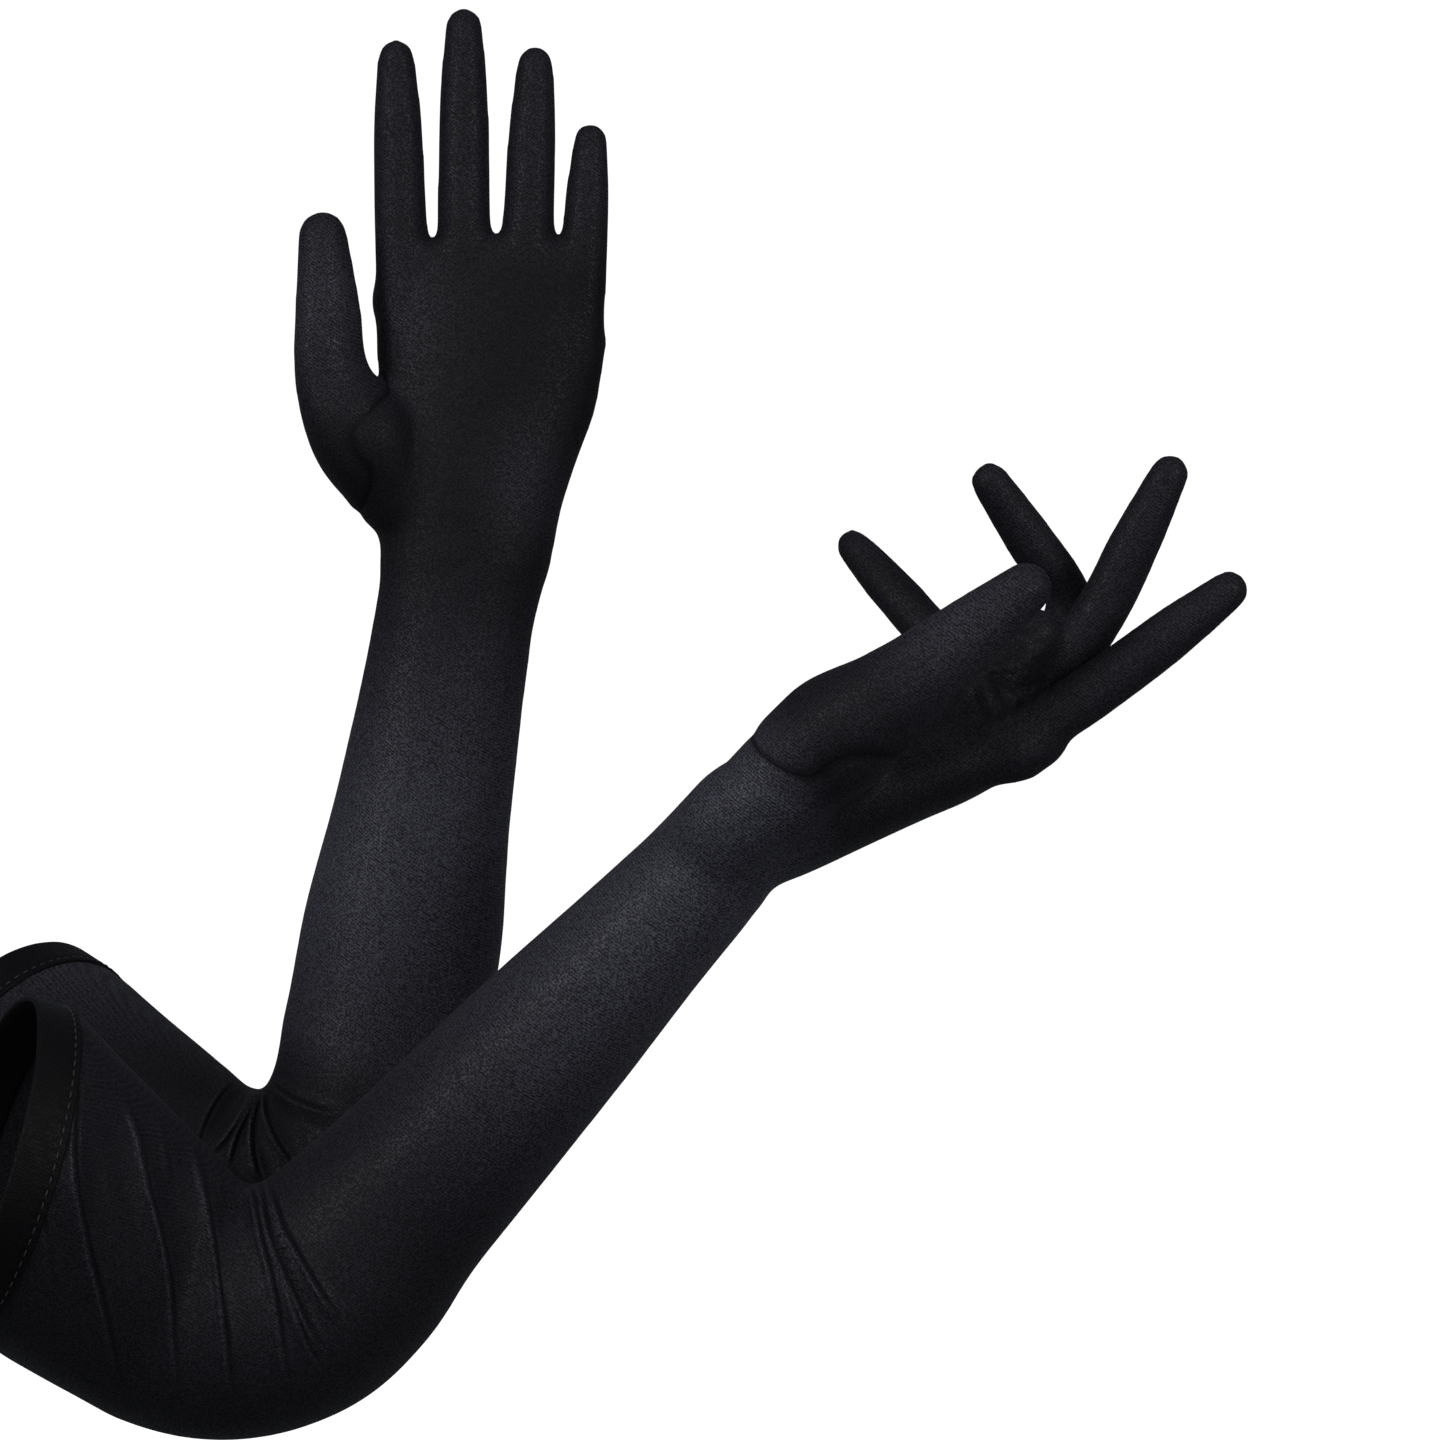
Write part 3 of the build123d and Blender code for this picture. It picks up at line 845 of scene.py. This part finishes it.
def gloveSkin(arm):
    # the finished skin of one glove: folds, seam, cuts, and the fields that its cloth reads
    shape = remeshed(gloveForm(arm))
    cuff = arm.cuff + arm.inward * (sleeveShape["hem"] - 2) * mm
    cutWithin(shape, nearCuff(arm, shape), cuff, arm.inward)
    outside = [f for f in nearCuff(arm, shape) if (f.calc_center_median() - cuff).dot(arm.inward) < 0]
    bmesh.ops.delete(shape, geom=outside, context="FACES")
    bmesh.ops.recalc_face_normals(shape, faces=shape.faces)
    shape.normal_update()
    spots, normals = (np.array([getattr(v, part) for v in shape.verts]) for part in ("co", "normal"))
    heights = foldHeights(arm, spots, normals)
    seam = thumbSeamField(arm, spots) / mm
    heights += thumbSeam["ridge"] * (np.exp(-(((seam + 2.4) / 2.2) ** 2)) - 0.8 * np.exp(-((seam / 1.6) ** 2)))
    fromCuff = (spots - np.array(cuff)) @ np.array(arm.inward) / mm
    heights *= np.clip(fromCuff / 8, 0, 1)
    for v, height, normal in zip(shape.verts, heights, normals):
        v.co += Vector(normal) * (height * mm)
    smoothed(shape, 2, 0.3)
    cutSkin(arm, shape)
    shape.normal_update()
    names = [*normalNames, "seamLine", "stretchAndPaintedLight", "gather"]
    names += [f"{part}{group}" for group in range(foldMark["groups"]) for part in ("foldLine", "foldSize")]
    layers = [shape.verts.layers.float.new(name) for name in names]
    spots, normals = (np.array([getattr(v, part) for v in shape.verts]) for part in ("co", "normal"))
    fields = [thumbSeamField(arm, spots), stretchAndPaintedLightAt(arm, spots), gatherAt(arm, arm.handPlace(spots))]
    fields = np.stack(fields + foldFields(arm, spots, normals)[0], axis=1)
    for v, values in zip(shape.verts, fields):
        for layer, value in zip(layers, (*v.normal, *values)):
            v[layer] = value
    return shape


def zonePiece(skin, zones, zone, name):
    # one zone of the skin as its own piece, with the whole skin's normals, so that no join shows
    shape = skin.copy()
    shape.faces.ensure_lookup_table()
    unwanted = [f for f, z in zip(shape.faces, zones) if z != zone]
    bmesh.ops.delete(shape, geom=unwanted, context="FACES")
    piece = linked(name, shape, satin)
    mesh = piece.data
    for face in mesh.polygons:
        face.use_smooth = True
    normals = np.stack([[d.value for d in mesh.attributes[part].data] for part in normalNames], axis=1)
    for part in normalNames:
        mesh.attributes.remove(mesh.attributes[part])
    mesh.normals_split_custom_set_from_vertices(normals.tolist())
    return piece


def replacing(piece, side, *parts):
    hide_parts(*(f"{side}_{part}" for part in parts))


def makeSleeve(arm, skin, zones):
    side = arm.side
    sleeve = zonePiece(skin, zones, "sleeve", side + "Sleeve")
    start, end = (arm.elbowStation(arm.look[part], blends["elbow"])[0] for part in ("upper", "fore"))
    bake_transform(sleeve)
    replacing(sleeve, side, "upper_sleeve", "elbow_sleeve", "forearm_sleeve",
              "upper_side_seam", "forearm_side_seam")
    return sleeve


def makeHand(arm, skin, zones):
    side, back, on = arm.side, *(reach * mm for reach in blends["wrist"])
    palm = zonePiece(skin, zones, "hand", side + "Hand")
    foreWay = (arm.wrist - arm.elbowStation(arm.look["fore"], blends["elbow"])[0]).normalized()
    start, end = arm.wrist - foreWay * back, arm.wrist + foreWay * on
    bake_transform(palm)
    replacing(palm, side, "wrist_sleeve", "palm_panel", "back_panel",
              "thumb_gusset", "thumb_seam", "hand_side_seam")
    return palm


def makeFinger(arm, skin, zones, name, line):
    side = arm.side
    hand, first, last = side + "_hand", f"{side}_{name}_root", f"{side}_{name}_end"
    start, end = fingerCuts(name, line)
    root = zonePiece(skin, zones, name + "Root", f"{side}{name.capitalize()}Root")
    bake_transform(root)
    replacing(root, side, name + "_base")
    tip = zonePiece(skin, zones, name + "Tip", f"{side}{name.capitalize()}Tip")
    way = (line["way"] + line["tipWay"]).normalized()
    end + way * blends["tip"] * mm
    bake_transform(tip)
    replacing(tip, side, name + "_tip")
    return [root, tip]


def makeThumb(arm, skin, zones):
    side, line = arm.side, arm.thumb
    stall = zonePiece(skin, zones, "thumbStall", side + "ThumbStall")
    start = thumbCut(line)
    end = start + line["way"] * blends["tip"] * mm
    side + "_hand"
    side + "_thumb"
    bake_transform(stall)
    replacing(stall, side, "thumb_stall")
    return stall


# sizes about the joints: the elbow's radius, the reach either side of the wrist
# and the reach past a finger's joint, in millimetres
blends = {"elbow": 38.0, "wrist": (34, 26), "tip": 18}


def makeGlove(arm):
    skin = gloveSkin(arm)
    zones = zonesOf(arm, skin)
    sleeve, palm = makeSleeve(arm, skin, zones), makeHand(arm, skin, zones)
    limbs = []
    for name, line in arm.fingers.items():
        limbs += makeFinger(arm, skin, zones, name, line)
    limbs.append(makeThumb(arm, skin, zones))
    skin.free()
    return sleeve, palm, limbs


# the hem, in millimetres: its cloth turned in and stitched down
hemShape = {
    "wide": 15.0, "inner": 54.0, "outer": 55.7, "line": 12.6, "pucker": 0.10, "wave": 0.5,
    "stitches": 84, "bead": (1.25, 0.27, 0.3),
}


def aroundCuff(arm, turn, along, radius):
    # a point by its turn round the cuff, its distance from the rim and its radius in millimetres
    first = (Vector((0, 1, 0)) - arm.inward * arm.inward.y).normalized()
    second = arm.inward.cross(first)
    return arm.cuff + (arm.inward * along + (first * cos(turn) + second * sin(turn)) * radius) * mm


def makeHem(arm):
    # up the inside, round the rim and back over the outside
    look = hemShape
    inner, outer, wide = look["inner"], look["outer"], look["wide"]
    profile = [(wide, inner), (10, inner), (5, inner), (1.2, inner + 0.02), (0.4, inner + 0.2),
               (0.05, inner + 0.55), (0.0, inner + 0.9), (0.12, outer - 0.45), (0.5, outer - 0.1), (1.3, outer)]
    profile += [(along, outer) for along in np.arange(2.5, wide - 0.6, 0.8)]
    profile += [(wide - 0.3, outer - 0.12), (wide, outer - 0.5), (wide + 0.05, outer - 1.0), (wide, inner)]
    shape = bmesh.new()
    around, rows = 504, len(profile) - 1
    bmesh.ops.create_grid(shape, x_segments=around, y_segments=rows, size=1.0)
    for v in shape.verts:
        turn, row = (v.co.x + 1) * pi, int(round((v.co.y + 1) / 2 * rows))
        along, radius = profile[row]
        out = 1.0 if row > rows / 3 else 0.0
        sunk = 0.35 * np.exp(-(((along - look["line"]) / 0.8) ** 2))
        ripple = look["pucker"] * cos(turn * look["stitches"]) * np.exp(-(((along - look["line"]) / 2.4) ** 2))
        spin = Vector((cos(turn), sin(turn), 0.3 * len(arm.side)))
        wave = look["wave"] * noise.noise(spin * 2.2) * (1 - along / wide)
        swell = 0.18 * noise.noise(spin * 5.0) * (1 - along / (wide + 1))
        v.co = aroundCuff(arm, turn, along + max(wave, -0.4), radius + out * (ripple - sunk) + swell)
    bmesh.ops.remove_doubles(shape, verts=shape.verts, dist=1e-6)
    bmesh.ops.recalc_face_normals(shape, faces=shape.faces)
    band = linked(arm.side + "Hem", shape, hemSatin)
    for face in band.data.polygons:
        face.use_smooth = True
    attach(band, arm.side + "_upper")
    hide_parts(arm.side + "_cuff_hem")
    return band


def makeStitches(arm):
    # a row of sewn stitches, each a slim rounded bead lying round the cuff
    look = hemShape
    shape = bmesh.new()
    for i in range(look["stitches"]):
        turn = (i + 0.5) / look["stitches"] * 2 * pi
        spot = aroundCuff(arm, turn, look["line"], look["outer"] - 0.12)
        out = (spot - arm.cuff - arm.inward * (spot - arm.cuff).dot(arm.inward)).normalized()
        turned = Matrix((out.cross(arm.inward), arm.inward, out)).transposed().to_4x4()
        place = Matrix.Translation(spot) @ turned @ Matrix.Diagonal((*(r * mm for r in look["bead"]), 1.0))
        bmesh.ops.create_uvsphere(shape, u_segments=12, v_segments=8, radius=1.0, matrix=place)
    row = linked(arm.side + "Stitches", shape, thread)
    for face in row.data.polygons:
        face.use_smooth = True
    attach(row, arm.side + "_upper")
    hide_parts(arm.side + "_cuff_stitching")
    return row


for arm in armOf.values():
    sleeve, palm, limbs = makeGlove(arm)
    edging = [makeHem(arm), makeStitches(arm)]
    print(arm.side, "glove made")
